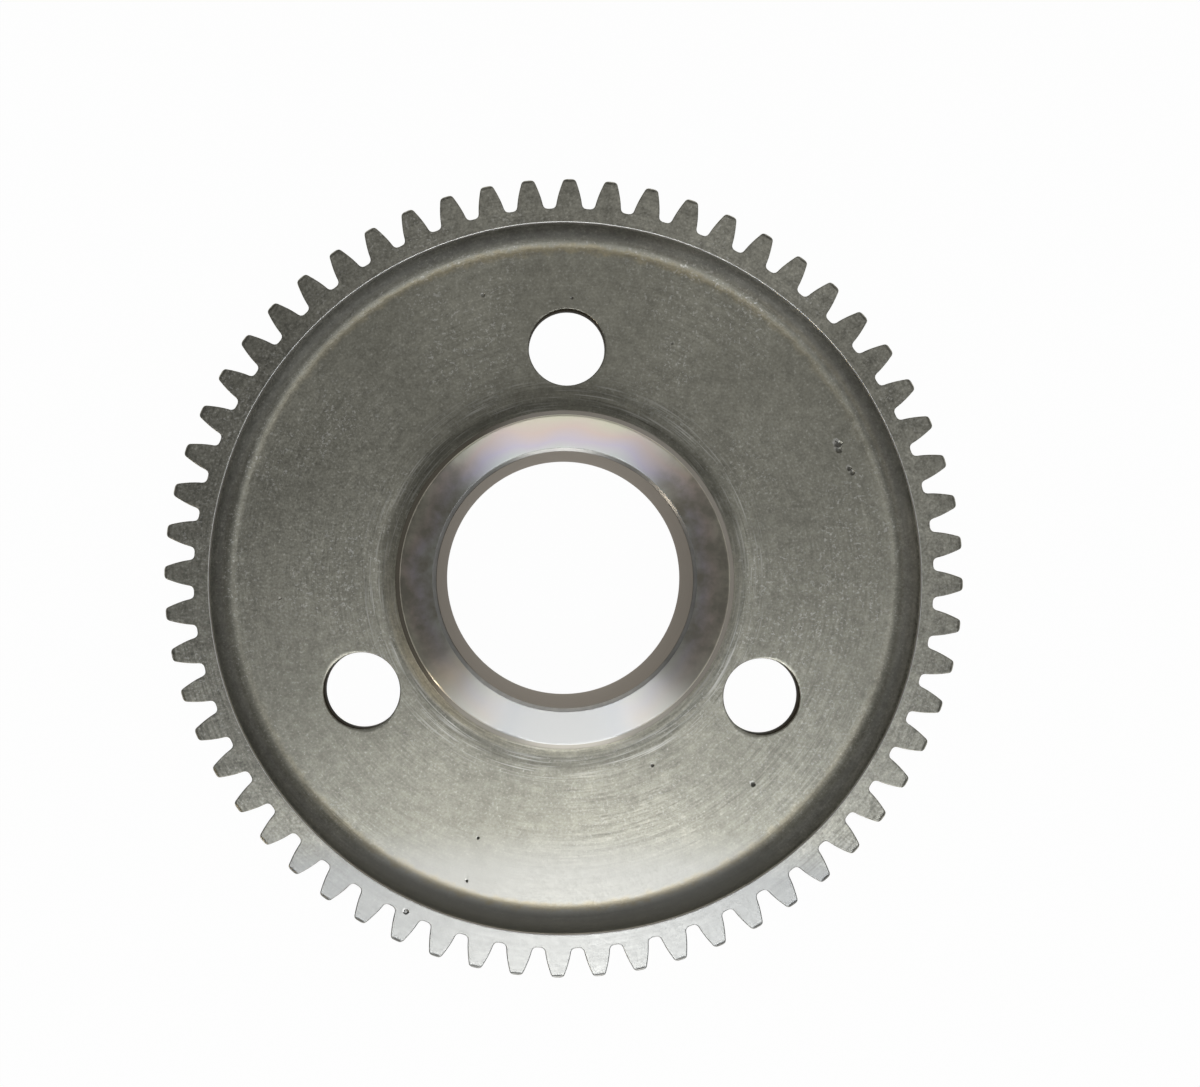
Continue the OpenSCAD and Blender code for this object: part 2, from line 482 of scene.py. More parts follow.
# settings that many nodes share
times = {"operation": "MULTIPLY"}
timesPlus = {"operation": "MULTIPLY_ADD"}
plus = {"operation": "ADD"}
larger = {"operation": "MAXIMUM"}
below = {"operation": "LESS_THAN"}
scaled = {"operation": "SCALE"}
dotted = {"operation": "DOT_PRODUCT"}
smooth = {"interpolation_type": "SMOOTHSTEP"}
inColour = {"data_type": "RGBA"}


def linear(hexColour):
    # sRGB hex to linear light
    c = np.array([int(hexColour[i:i + 2], 16) for i in (1, 3, 5)]) / 255
    c = np.where(c <= 0.04045, c / 12.92, ((c + 0.055) / 1.055) ** 2.4)
    return (*c.tolist(), 1.0)


def addNode(tree, kind, settings=None, inputs=None):
    # a shader node with its settings, and each input either linked or set
    node = tree.nodes.new("ShaderNode" + kind)
    for name, value in (settings or {}).items():
        setattr(node, name, value)
    for key, value in (inputs or {}).items():
        if isinstance(value, bpy.types.NodeSocket):
            tree.links.new(value, node.inputs[key])
        else:
            node.inputs[key].default_value = value
    return node


def ends(span, unit=1.0):
    # a span as inputs of a Map Range: where it starts and stops, then what it gives at both
    start, stop, *given = span
    return {1: start * unit, 2: stop * unit, **dict(zip((3, 4), given))}


def newMaterial(name):
    material = bpy.data.materials.new(name)
    material.use_nodes = True
    tree = material.node_tree
    tree.nodes.clear()
    place = addNode(tree, "TexCoord").outputs["Object"]
    return material, tree, place


def fromAxis(tree, place):
    # a point without its height, its distance from the gear axis and its direction from there
    flat = addNode(tree, "VectorMath", times, {0: place, 1: (1, 1, 0)}).outputs[0]
    radius = addNode(tree, "VectorMath", {"operation": "LENGTH"}, {0: flat}).outputs[1]
    outward = addNode(tree, "VectorMath", {"operation": "NORMALIZE"}, {0: flat}).outputs[0]
    return flat, radius, outward


def ringMask(tree, radius, ringMm):
    # one inside a ring and nothing outside it, by the radii where it starts, is full, fades and ends
    start, full, fades, stop = ringMm
    rising = addNode(tree, "MapRange", smooth, {0: radius, **ends((start, full), mm)}).outputs[0]
    falling = addNode(tree, "MapRange", smooth, {0: radius, **ends((stop, fades), mm)}).outputs[0]
    return addNode(tree, "Math", times, {0: rising, 1: falling}).outputs[0]


# hardened steel, blasted and tumbled: dull warm grey with fine bright and dark specks, and the
# concentric marks of turning still faintly there
blasted = {
    "colour": "#a09e91",
    "rimColour": "#a3a195",
    "wiped": "#a8a7a0",           # painted highlight: the lower side is lighter, more neutral and more even, where the key light glares
    "wipedRim": "#a0a09c",
    # the marks show at this share in the painted glare
    "wipedContrast": 0.22,
    "rimContrast": 0.7,           # added on the rim
    "fringe": "#b0a382",          # painted highlight: a yellow sheen where the web begins to rise, kept to its top and bottom
    "fringeMm": (50.6, 51.6, 51.6, 52.6),
    "fringeShare": 0.6,
    "matt": "#a6a6a0",            # the upper part of the hollow is lighter and more neutral in colour, and matt
    "mattMm": (52.7, 54.0, 56.0, 57.0),
    "fleck": "#e6e5de",
    "pit": "#3f3d38",
    "edgeTint": "#aca79f",        # iron goes duller, not white, at a glancing look
    "noise": {                    # size in mm, detail, roughness
        "grain": (0.4, 4.0, 0.7),
        "specks": (0.48, 2.0, 0.6),
        "coarse": (1.7, 5.0, 0.65),
        "patches": (14.0, 2.0, 0.5),
        "clouds": (16.0, 4.0, 0.5),
    },
    # waves round the axis, then as above; real marks are finer, and drawn this coarse to show
    "arcNoise": {
        "turning": (4.0, 0.4, 3.0, 0.7),
        "scratches": (3.0, 0.24, 2.0, 0.6),
    },
    "fadesMm": {                  # what it goes by, how, from where to where in mm, what it gives
        "front": ("height", "LINEAR", (2.0, 4.0)),
        "nearBoss": ("radius", "LINEAR", (31.0, 29.0)),
        "scratched": ("radius", "SMOOTHSTEP", (33.5, 29.5)),        # by the clutch, near the boss
        # painted glare: fades in towards the lower side
        "wiped": ("along", "SMOOTHSTEP", (-38.0, -47.0)),
        "lined": ("along", "LINEAR", (-5.0, -30.0, 0.8, 1.5)),      # turning shows more down there
        "fewer": ("along", "LINEAR", (-5.0, -30.0, 1.0, 0.35)),     # and flecks show less
        "hollow": ("uneven", "LINEAR", (51.0, 52.4)),
    },
    "fades": {                    # what it goes by, from where to where, what it gives
        "cloudShade": ("clouds", (0.3, 0.7, 0.9, 1.1)),
        "grainShade": ("grain", (0.25, 0.75, 0.75, 1.25)),
        "blotchShade": ("coarse", (0.25, 0.75, 0.8, 1.2)),
        "lines": ("turning", (0.3, 0.7, -0.18, 0.18)),
        "linePatch": ("patches", (0.4, 0.65, 0.25, 1.0)),
        "flecks": ("specks", (0.6, 0.66, 0.0, 0.52)),
        "clusters": ("patches", (0.46, 0.6)),
        "sparkles": ("grain", (0.6, 0.7, 0.0, 0.42)),
        "scores": ("scratches", (0.56, 0.68, 0.0, 0.6)),
        "darkSpecks": ("specks", (0.24, 0.17, 0.0, 0.6)),
        "cuts": ("scratches", (0.38, 0.3, 0.0, 0.35)),
        "dull": ("grain", (0.3, 0.7, 0.28, 0.37)),                  # the roughness of the flats
        "lowerHalf": ("facing", (-0.3, -0.8)),
        "notTop": ("facing", (0.5, 0.0)),
        # how much painted shade the hollow takes, less on its lower side
        "grimy": ("facing", (-0.8, 0.2, 0.45, 1.0)),
        "dimRim": ("dimSide", (0.5, 0.95)),
    },
    "rings": (                    # where, share of painted light, or of painted shade where it is below nought, radii in mm
        ("grimy", -0.34, (51.5, 52.4, 52.6, 53.4)),       # painted shade darkens the hollow of the rim
        ("wall", 0.3, (54.2, 55.2, 56.0, 57.0)),          # and the top of its wall is painted lighter
        ("notTop", 0.5, (25.8, 26.6, 27.8, 28.3)),        # painted light, then painted shade on the lower half, in rings at the boss's foot
        ("lowerHalf", -0.35, (27.9, 28.3, 28.8, 29.3)),
        ("dimRim", -0.22, (55.1, 55.3, 70.0, 71.0)),
    ),
    "dimRimDeg": -72.0,           # the rim is painted darker on this side: painted shade
    "rimFaceMm": 55.1,            # the rim face begins there
    "belowRimMm": 8.4,            # along z: the wall of the hollow ends there
    "unevenMm": 2.5,              # how far the edges of the hollow wander
    "raggedMm": 0.4,              # how far the edges of the pits do
    "pitShape": {                 # shares of a pit's size: how far aside, edge, full, then strength
        "sunk": (0.0, 0.75, 0.3, 1.0),
        "raised": (0.4, 0.75, 0.45, 0.6),     # a bright burr thrown up beside it
    },
    "duller": {                   # added roughness
        "nearBoss": 0.1,
        "matt": 0.13,
        "hollow": 0.09,
    },
    "heightMm": 0.01,             # of the turning marks
    "grainHeight": 1.1,           # this and the next in such heights
    "pitHeight": -12.0,
}

# pits and knocks in the web and rim: azimuth, radius, size, darkness
forgingPits = (
    (63.2, 47.9, 0.95, 0.75),
    (64.2, 47.6, 0.8, 0.6),
    (62.5, 47.9, 0.45, 0.6),
    (68.2, 48.0, 0.6, 0.8),
    (69.1, 48.2, 0.6, 0.6),
    (136.5, 43.95, 0.62, 1.0),
    (153.7, 32.5, 0.36, 0.9),
    (-162.7, 42.9, 0.36, 1.0),
    (-163.2, 49.8, 0.34, 1.0),
    (-16.7, 46.1, 0.5, 0.5),
    (0.9, 43.9, 0.3, 0.6),
    (-155.6, 57.2, 0.6, 0.6),
    (24.0, 40.5, 0.3, 0.5),
    (-95.0, 44.5, 0.32, 0.6),
    (101.0, 38.0, 0.3, 0.5),
)


def blastedPatterns(tree, place, s):
    # what the finish goes by at a point: where it lies, its noises, and how far in each part it is
    flat, radius, outward = fromAxis(tree, place)
    sides = addNode(tree, "SeparateXYZ", None, {0: place}).outputs
    at = {"place": place, "flat": flat, "radius": radius, "along": sides["Y"], "height": sides["Z"]}
    at["facing"] = addNode(tree, "SeparateXYZ", None, {0: outward}).outputs["Y"]
    at["dimSide"] = addNode(tree, "VectorMath", dotted, {
        0: outward, 1: (*direction(s["dimRimDeg"]), 0)}).outputs[1]

    for name, (sizeMm, detail, roughness) in s["noise"].items():
        at[name] = addNode(tree, "TexNoise", None, {
            "Vector": place, "Scale": 1 / (sizeMm * mm), "Detail": detail, "Roughness": roughness}).outputs[0]
    for name, (waves, sizeMm, detail, roughness) in s["arcNoise"].items():
        # it runs on along the circle and changes fast along the radius
        arcs = addNode(tree, "VectorMath", scaled, {0: outward, "Scale": waves}).outputs[0]
        feed = addNode(tree, "Math", {"operation": "DIVIDE"}, {0: radius, 1: sizeMm * mm}).outputs[0]
        feedAxis = addNode(tree, "CombineXYZ", None, {2: feed}).outputs[0]
        spiral = addNode(tree, "VectorMath", plus, {0: arcs, 1: feedAxis}).outputs[0]
        at[name] = addNode(tree, "TexNoise", None, {
            "Vector": spiral, "Scale": 1.0, "Detail": detail, "Roughness": roughness}).outputs[0]

    uneven = addNode(tree, "Math", timesPlus, {
        0: at["coarse"], 1: s["unevenMm"] * mm, 2: -s["unevenMm"] * mm / 2}).outputs[0]
    at["uneven"] = addNode(tree, "Math", plus, {0: radius, 1: uneven}).outputs[0]
    for name, (source, how, span) in s["fadesMm"].items():
        at[name] = addNode(tree, "MapRange", {"interpolation_type": how}, {
            0: at[source], **ends(span, mm)}).outputs[0]
    for name, (source, span) in s["fades"].items():
        at[name] = addNode(tree, "MapRange", None, {0: at[source], **ends(span)}).outputs[0]

    at["onRim"] = addNode(tree, "Math", {"operation": "GREATER_THAN"}, {
        0: radius, 1: s["rimFaceMm"] * mm}).outputs[0]
    onWeb = addNode(tree, "Math", {"operation": "SUBTRACT"}, {0: 1.0, 1: at["onRim"]}).outputs[0]
    at["wall"] = addNode(tree, "Math", below, {0: at["height"], 1: s["belowRimMm"] * mm}).outputs[0]
    at["matt"] = ringMask(tree, radius, s["mattMm"])
    # the painted gold sheen: a ring on the front, towards the top and bottom
    at["fringe"] = ringMask(tree, at["uneven"], s["fringeMm"])
    upright = addNode(tree, "Math", times, {0: at["facing"], 1: at["facing"]}).outputs[0]

    # some of these count only on the front, on the web or towards the top and bottom
    for name, within in (("wiped", at["front"]), ("grimy", at["front"]), ("wall", at["front"]),
                         ("fringe", at["front"]), ("fringe", upright), ("fringe", s["fringeShare"]),
                         ("hollow", onWeb)):
        at[name] = addNode(tree, "Math", times, {0: at[name], 1: within}).outputs[0]
    at["matt"] = addNode(tree, "Math", times, {0: at["wall"], 1: at["matt"]}).outputs[0]
    at["marked"] = addNode(tree, "Math", larger, {0: at["linePatch"], 1: at["nearBoss"]}).outputs[0]
    at["contrast"] = addNode(tree, "MapRange", None, {
        0: at["wiped"], 3: 1.0, 4: s["wipedContrast"]}).outputs[0]
    return at


def addPits(tree, at, s, pits):
    # each pit goes by the distance from its middle, ragged by noise, and a burr stands beside it
    size = s["raggedMm"] * mm
    ragged = addNode(tree, "TexNoise", None, {
        "Vector": at["place"], "Scale": 1 / size, "Detail": 2.0}).outputs[1]
    ragged = addNode(tree, "VectorMath", timesPlus, {
        0: ragged, 1: (size,) * 3, 2: (-size / 2,) * 3}).outputs[0]
    moved = addNode(tree, "VectorMath", plus, {0: at["flat"], 1: ragged}).outputs[0]
    moved = addNode(tree, "VectorMath", times, {0: moved, 1: (1, 1, 0)}).outputs[0]
    for name, (aside, edge, full, strength) in s["pitShape"].items():
        found = 0.0
        for azimuth, pitR, pitSize, depth in pits:
            x, y = (direction(azimuth) * pitR + np.array((-aside, aside)) * pitSize) * mm
            away = addNode(tree, "VectorMath", {"operation": "DISTANCE"}, {
                0: moved, 1: (x, y, 0)}).outputs[1]
            spot = addNode(tree, "MapRange", smooth, {
                0: away, **ends((edge * pitSize, full * pitSize, 0.0, strength * depth), mm)}).outputs[0]
            found = addNode(tree, "Math", larger, {0: found, 1: spot}).outputs[0]
        at[name] = addNode(tree, "Math", times, {0: found, 1: at["front"]}).outputs[0]


def blastedColour(tree, at, s):
    # an even grey, lighter and darker by a few parts in a hundred
    lines = addNode(tree, "Math", times, {0: at["lines"], 1: at["lined"]}).outputs[0]
    shade = addNode(tree, "Math", timesPlus, {0: lines, 1: at["marked"], 2: 1.0}).outputs[0]
    for part in ("cloudShade", "grainShade", "blotchShade"):
        shade = addNode(tree, "Math", times, {0: shade, 1: at[part]}).outputs[0]
    gain = addNode(tree, "Math", timesPlus, {0: at["onRim"], 1: s["rimContrast"], 2: 1.0}).outputs[0]
    gain = addNode(tree, "Math", times, {0: gain, 1: at["contrast"]}).outputs[0]
    shade = addNode(tree, "Math", {"operation": "SUBTRACT"}, {0: shade, 1: 1.0}).outputs[0]
    shade = addNode(tree, "Math", timesPlus, {0: shade, 1: gain, 2: 1.0}).outputs[0]
    for where, share, ringMm in s["rings"]:
        ring = ringMask(tree, at["radius"], ringMm)
        ring = addNode(tree, "Math", times, {0: ring, 1: at[where]}).outputs[0]
        ring = addNode(tree, "Math", timesPlus, {0: ring, 1: share, 2: 1.0}).outputs[0]
        shade = addNode(tree, "Math", times, {0: shade, 1: ring}).outputs[0]

    # painted highlight: the lower side takes the glare's lighter, even colour
    glareTint = addNode(tree, "Mix", inColour, {
        0: at["onRim"], 6: linear(s["wiped"]), 7: linear(s["wipedRim"])}).outputs[2]
    colour = addNode(tree, "Mix", inColour, {
        0: at["onRim"], 6: linear(s["colour"]), 7: linear(s["rimColour"])}).outputs[2]
    for where, tint in (("wiped", glareTint), ("matt", linear(s["matt"])), ("fringe", linear(s["fringe"]))):
        colour = addNode(tree, "Mix", inColour, {0: at[where], 6: colour, 7: tint}).outputs[2]
    colour = addNode(tree, "VectorMath", scaled, {0: colour, "Scale": shade}).outputs[0]

    # then bright flecks, scores and burrs, and dark specks, cuts and pits
    scratch = {}
    for name in ("scores", "cuts"):
        scratch[name] = addNode(tree, "Math", times, {0: at[name], 1: at["scratched"]}).outputs[0]
    bright = addNode(tree, "Math", times, {0: at["clusters"], 1: at["fewer"]}).outputs[0]
    bright = addNode(tree, "Math", times, {0: at["flecks"], 1: bright}).outputs[0]
    bright = addNode(tree, "Math", larger, {0: bright, 1: at["sparkles"]}).outputs[0]
    bright = addNode(tree, "Math", times, {0: bright, 1: at["contrast"]}).outputs[0]
    for mark in (scratch["scores"], at["raised"]):
        bright = addNode(tree, "Math", larger, {0: bright, 1: mark}).outputs[0]
    dark = at["darkSpecks"]
    for mark in (scratch["cuts"], at["sunk"]):
        dark = addNode(tree, "Math", larger, {0: dark, 1: mark}).outputs[0]
    for share, tint in ((bright, s["fleck"]), (dark, s["pit"])):
        colour = addNode(tree, "Mix", inColour, {0: share, 6: colour, 7: linear(tint)}).outputs[2]
    return colour


def makeBlastedSteel(s, pits):
    material, tree, place = newMaterial("blasted_hardened_steel")
    at = blastedPatterns(tree, place, s)
    addPits(tree, at, s, pits)
    colour = blastedColour(tree, at, s)

    # the two hollows are duller than the flats
    roughness = at["dull"]
    for where, added in s["duller"].items():
        roughness = addNode(tree, "Math", timesPlus, {0: at[where], 1: added, 2: roughness}).outputs[0]

    # turning marks and grain stand up, pits lie deep
    height = addNode(tree, "Math", times, {0: at["turning"], 1: at["marked"]}).outputs[0]
    height = addNode(tree, "Math", timesPlus, {0: at["grain"], 1: s["grainHeight"], 2: height}).outputs[0]
    height = addNode(tree, "Math", times, {0: height, 1: at["contrast"]}).outputs[0]
    height = addNode(tree, "Math", timesPlus, {0: at["sunk"], 1: s["pitHeight"], 2: height}).outputs[0]
    bump = addNode(tree, "Bump", None, {
        "Strength": 1.0, "Distance": s["heightMm"] * mm, "Height": height}).outputs[0]
    shader = addNode(tree, "BsdfPrincipled", None, {
        "Base Color": colour, "Metallic": 1.0, "Roughness": roughness, "Normal": bump,
        "Specular Tint": linear(s["edgeTint"])}).outputs[0]
    addNode(tree, "OutputMaterial", None, {"Surface": shader})
    return material


# the sharp lip of the recess and the edge of the bore: a near-white colour painted as a highlight; the bore's
# edge keeps it on its lower side only, and is in painted shade elsewhere
rubbed = {
    "colour": "#f6f5f0",
    "roughness": 0.3,
    "wearMm": 1.6,
    "wearShade": (0.35, 0.6, 0.85, 1.0),
    "boreEdgeMm": 20.0,           # the edge of the bore lies within this radius
    "boreDulled": 0.4,            # its shade where it isn't bright
    "dulledFacing": (-0.95, -0.55),   # goes by the direction from the axis
}


def makeEdgeHighlight(s):
    material, tree, place = newMaterial("rubbed_steel_edge")
    glintNoise = addNode(tree, "TexNoise", None, {
        "Vector": place, "Scale": 1 / (s["wearMm"] * mm), "Detail": 4.0, "Roughness": 0.6}).outputs[0]
    shade = addNode(tree, "MapRange", None, {0: glintNoise, **ends(s["wearShade"])}).outputs[0]
    _, radius, outward = fromAxis(tree, place)
    facing = addNode(tree, "SeparateXYZ", None, {0: outward}).outputs["Y"]
    # painted shade on the bore's edge, except on its lower side
    paintedShading = addNode(tree, "MapRange", smooth, {0: facing, **ends(s["dulledFacing"])}).outputs[0]
    atBore = addNode(tree, "Math", below, {0: radius, 1: s["boreEdgeMm"] * mm}).outputs[0]
    paintedShading = addNode(tree, "Math", times, {0: paintedShading, 1: atBore}).outputs[0]
    paintedShading = addNode(tree, "MapRange", None, {0: paintedShading, 3: 1.0, 4: s["boreDulled"]}).outputs[0]
    shade = addNode(tree, "Math", times, {0: shade, 1: paintedShading}).outputs[0]
    colour = addNode(tree, "VectorMath", scaled, {0: linear(s["colour"])[:3], "Scale": shade}).outputs[0]
    shader = addNode(tree, "BsdfPrincipled", None, {
        "Base Color": colour, "Metallic": 1.0, "Roughness": s["roughness"]}).outputs[0]
    addNode(tree, "OutputMaterial", None, {"Surface": shader})
    return material


# steel faced with a fine feed and left bright: each groove throws light along its radius, so two
# fans shine across the ring, with a breath of oil-film colour
faced = {
    "films": ("#e5e1cc", "#e6d5cc", "#dbd3de", "#dde2da"),   # cream, pink, lavender, pale grey
    "filmRingMm": (23.6, 19.0),   # they follow each other from the outside in
    "filmMm": 9.0,
    "filmDrift": (0.3, 0.7, -0.25, 0.25),
    "lowerFilm": "#e6e0d2",       # only cream on the lower side
    "oil": "#c8c9c8",             # and an even grey painted in the middle of it, standing in for the glare of the lower fan
    "stain": "#a8a396",           # handled left and right, where it has browned
    "smudgeMm": 3.0,
    "smudges": (0.46, 0.6),
    "stains": (0.62, 0.38, 0.4, 1.0),
    "lower": (-0.3, -0.7, 0.0, 0.75),     # these four go by the direction from the axis
    "oiled": (-0.85, -0.95),
    "aside": (0.55, 0.8),
    "notLow": (-0.8, -0.3),
    "roughness": 0.278,
    "smudgeRoughness": 0.03,
    "anisotropy": 1.0,
}


def makeFacedSteel(s):
    material, tree, place = newMaterial("finely_faced_steel")
    flat, radius, outward = fromAxis(tree, place)
    sides = addNode(tree, "SeparateXYZ", None, {0: outward}).outputs
    acrossX = addNode(tree, "Math", {"operation": "ABSOLUTE"}, {0: sides["X"]}).outputs[0]
    part = {}
    for name in ("lower", "oiled", "notLow", "aside"):
        source = acrossX if name == "aside" else sides["Y"]
        part[name] = addNode(tree, "MapRange", smooth, {0: source, **ends(s[name])}).outputs[0]
    handled = addNode(tree, "Math", times, {0: part["aside"], 1: part["notLow"]}).outputs[0]

    # oil-film colours change slowly, stains and smudges faster
    film = addNode(tree, "TexNoise", None, {
        "Vector": flat, "Scale": 1 / (s["filmMm"] * mm), "Detail": 1.0}).outputs[0]
    film = addNode(tree, "MapRange", None, {0: film, **ends(s["filmDrift"])}).outputs[0]
    inwards = addNode(tree, "MapRange", None, {0: radius, **ends(s["filmRingMm"], mm)}).outputs[0]
    film = addNode(tree, "Math", plus, {0: film, 1: inwards}).outputs[0]
    tints = addNode(tree, "ValToRGB", None, {0: film})
    stops = tints.color_ramp.elements
    stops[0].color, stops[-1].color = linear(s["films"][0]), linear(s["films"][-1])
    for i, tint in enumerate(s["films"][1:-1], 1):
        stops.new(i / (len(s["films"]) - 1)).color = linear(tint)
    noise = addNode(tree, "TexNoise", None, {
        "Vector": flat, "Scale": 1 / (s["smudgeMm"] * mm), "Detail": 5.0, "Roughness": 0.6}).outputs[0]
    for name in ("smudges", "stains"):
        mark = addNode(tree, "MapRange", None, {0: noise, **ends(s[name])}).outputs[0]
        part[name] = addNode(tree, "Math", times, {0: mark, 1: handled}).outputs[0]

    colour = tints.outputs[0]
    for name, tint in (("lower", "lowerFilm"), ("oiled", "oil"), ("stains", "stain")):
        colour = addNode(tree, "Mix", inColour, {0: part[name], 6: colour, 7: linear(s[tint])}).outputs[2]
    roughness = addNode(tree, "Math", timesPlus, {
        0: part["smudges"], 1: s["smudgeRoughness"], 2: s["roughness"]}).outputs[0]
    shader = addNode(tree, "BsdfPrincipled", None, {
        "Base Color": colour, "Metallic": 1.0, "Roughness": roughness,
        "Anisotropic": s["anisotropy"], "Tangent": outward}).outputs[0]
    addNode(tree, "OutputMaterial", None, {"Surface": shader})
    return material


# steel ground on its bore and on the clutch race: smooth, with hair-fine marks round the axis
ground = {
    "colour": "#8f8a82",
    "browned": "#57534b",         # painted shade on the bevel of the boss end, on its left
    "worn": "#aca89f",            # and painted light on its lower side
    "bevelMm": (1.1, 0.95),       # below the boss end
    "left": (-0.1, -0.6),         # both go by the direction from the axis
    "lower": (-0.6, -0.85),
    "boreShades": ("#827d75", "#a19b92"),   # painted shade on the bore's left and right, painted light on its other sides
    "boreWallMm": 1.0,            # it counts as bore up to this far outside the bore's radius
    "edgeTint": "#a09a92",        # iron goes duller, not white, at a glancing look
    "dull": (0.3, 0.7, 0.28, 0.36),
    "anisotropy": 0.5,
    "markMm": 0.12,               # finer in life: drawn this coarse so that it shows
    "markHeightMm": 0.0015,
    "streakMm": 3.0,
}


def makeGroundSteel(s, endZ, boreR):
    material, tree, place = newMaterial("ground_steel")
    _, radius, outward = fromAxis(tree, place)
    along = addNode(tree, "CombineXYZ", None, {2: 1.0}).outputs[0]   # the marks throw light this way
    streak, mark = 1 / (s["streakMm"] * mm), 1 / (s["markMm"] * mm)
    stretched = addNode(tree, "VectorMath", times, {0: place, 1: (streak, streak, mark)}).outputs[0]
    marks = addNode(tree, "TexNoise", None, {"Vector": stretched, "Scale": 1.0, "Detail": 3.0}).outputs[0]
    roughness = addNode(tree, "MapRange", None, {0: marks, **ends(s["dull"])}).outputs[0]
    bump = addNode(tree, "Bump", None, {
        "Strength": 1.0, "Distance": s["markHeightMm"] * mm, "Height": marks}).outputs[0]

    # colour: even on the race, with painted light and shade round the bore and on two sides of the bevel
    sides = addNode(tree, "SeparateXYZ", None, {0: outward}).outputs
    upright = addNode(tree, "Math", times, {0: sides["Y"], 1: sides["Y"]}).outputs[0]
    borePaintedShade = addNode(tree, "Mix", inColour, {
        0: upright, 6: linear(s["boreShades"][0]), 7: linear(s["boreShades"][1])}).outputs[2]
    inBore = addNode(tree, "Math", below, {0: radius, 1: (boreR + s["boreWallMm"]) * mm}).outputs[0]
    colour = addNode(tree, "Mix", inColour, {0: inBore, 6: linear(s["colour"]), 7: borePaintedShade}).outputs[2]
    height = addNode(tree, "SeparateXYZ", None, {0: place}).outputs["Z"]
    bevelZ = [endZ - depth for depth in s["bevelMm"]]
    bevel = addNode(tree, "MapRange", None, {0: height, **ends(bevelZ, mm)}).outputs[0]
    for name, source, tint in (("left", sides["X"], "browned"), ("lower", sides["Y"], "worn")):
        share = addNode(tree, "MapRange", smooth, {0: source, **ends(s[name])}).outputs[0]
        share = addNode(tree, "Math", times, {0: share, 1: bevel}).outputs[0]
        colour = addNode(tree, "Mix", inColour, {0: share, 6: colour, 7: linear(s[tint])}).outputs[2]
    shader = addNode(tree, "BsdfPrincipled", None, {
        "Base Color": colour, "Metallic": 1.0, "Roughness": roughness, "Normal": bump,
        "Anisotropic": s["anisotropy"], "Tangent": along, "Specular Tint": linear(s["edgeTint"])}).outputs[0]
    addNode(tree, "OutputMaterial", None, {"Surface": shader})
    return material


# the walls of the holes, painted dark for the shade inside them
drilled = {
    "colour": "#5b574f",
    "edgeTint": "#6a665f",
    "roughness": 0.4,
    "streakMm": 0.5,
    "streakShade": (0.3, 0.7, 0.75, 1.25),
}


def makeDrilledSteel(s):
    material, tree, place = newMaterial("drilled_steel")
    streaks = addNode(tree, "TexNoise", None, {
        "Vector": place, "Scale": 1 / (s["streakMm"] * mm), "Detail": 3.0}).outputs[0]
    shade = addNode(tree, "MapRange", None, {0: streaks, **ends(s["streakShade"])}).outputs[0]
    colour = addNode(tree, "VectorMath", scaled, {0: linear(s["colour"])[:3], "Scale": shade}).outputs[0]
    shader = addNode(tree, "BsdfPrincipled", None, {
        "Base Color": colour, "Metallic": 1.0, "Roughness": s["roughness"],
        "Specular Tint": linear(s["edgeTint"])}).outputs[0]
    addNode(tree, "OutputMaterial", None, {"Surface": shader})
    return material


# where one finish ends and the next begins, in mm past the edge that each goes by
finishEdges = {
    "race": 0.05,                 # outside the boss
    "endDepth": 0.2,              # below the boss end
    "endBevel": 0.12,             # out onto its bevel
    "bore": 0.3,                  # outside the bore
    "boreEdge": (0.02, 0.7),      # outside the bore, from and to
    "boreEdgeDepth": 0.55,        # below the boss end
    "lip": 0.7,                   # to either side of the recess edge
    "lipBreak": 0.85,             # share of the edge break, down from the rim face
    "hole": 1.0,                  # outside a hole
    "leaning": 0.995,             # an edge faces up by less than this
    "upright": 0.3,               # and a wall by less than this
}


def dressGear(gear, s, d, f):
    # the finish of a face follows from where its middle lies and how it leans: race and bore, boss end, edges
    # with a painted highlight, hole walls, and blasted steel on all the rest
    finishes = {
        "blasted": makeBlastedSteel(blasted, forgingPits),
        "faced": makeFacedSteel(faced),
        "ground": makeGroundSteel(ground, s["hubLength"], s["boreR"]),
        "rubbed": makeEdgeHighlight(rubbed),
        "drilled": makeDrilledSteel(drilled),
    }
    mesh = gear.data
    for material in finishes.values():
        mesh.materials.append(material)
    slot = {name: i for i, name in enumerate(finishes)}

    middle, normal = np.empty((2, len(mesh.polygons) * 3))
    mesh.polygons.foreach_get("center", middle)
    mesh.polygons.foreach_get("normal", normal)
    x, y, z = middle.reshape(-1, 3).T / mm
    r = np.hypot(x, y)
    facingUp = normal.reshape(-1, 3)[:, 2]
    leaning, upright = facingUp < f["leaning"], np.abs(facingUp) < f["upright"]
    depth, outside = s["hubLength"] - z, r - s["boreR"]
    edgeStart, edgeStop = f["boreEdge"]

    onBoss = (r < s["bossR"] + f["race"]) & (z > d["webFrontZ"] + s["bossHollow"])
    onEnd = (depth < f["endDepth"]) & (r < s["bossR"] - s["bossBevel"] + f["endBevel"])
    boreEdge = leaning & (outside > edgeStart) & (outside < edgeStop) & (depth < f["boreEdgeDepth"])
    lipDepth = f["lipBreak"] * s["recessBreak"]
    onLip = leaning & (np.abs(r - d["recess"]) < f["lip"]) & (z > d["rimFrontZ"] - lipDepth)
    inHole = upright & (np.abs(r - d["holeCircle"]) < s["holeR"] + f["hole"])
    finish = np.full(len(r), slot["blasted"], np.int32)
    for faces, name in ((onBoss, "ground"), (onEnd, "faced"), (outside < f["bore"], "ground"),
                        (boreEdge | onLip, "rubbed"), (inHole, "drilled")):
        finish[faces] = slot[name]
    mesh.polygons.foreach_set("material_index", finish)
    print("finishes:", [m.name for m in mesh.materials])


dressGear(gear, gearSize, gearDerived, finishEdges)
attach(gear, "root")
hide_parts("driven_gear")


# studio: a white floor, grey walls of light and a few soft panels

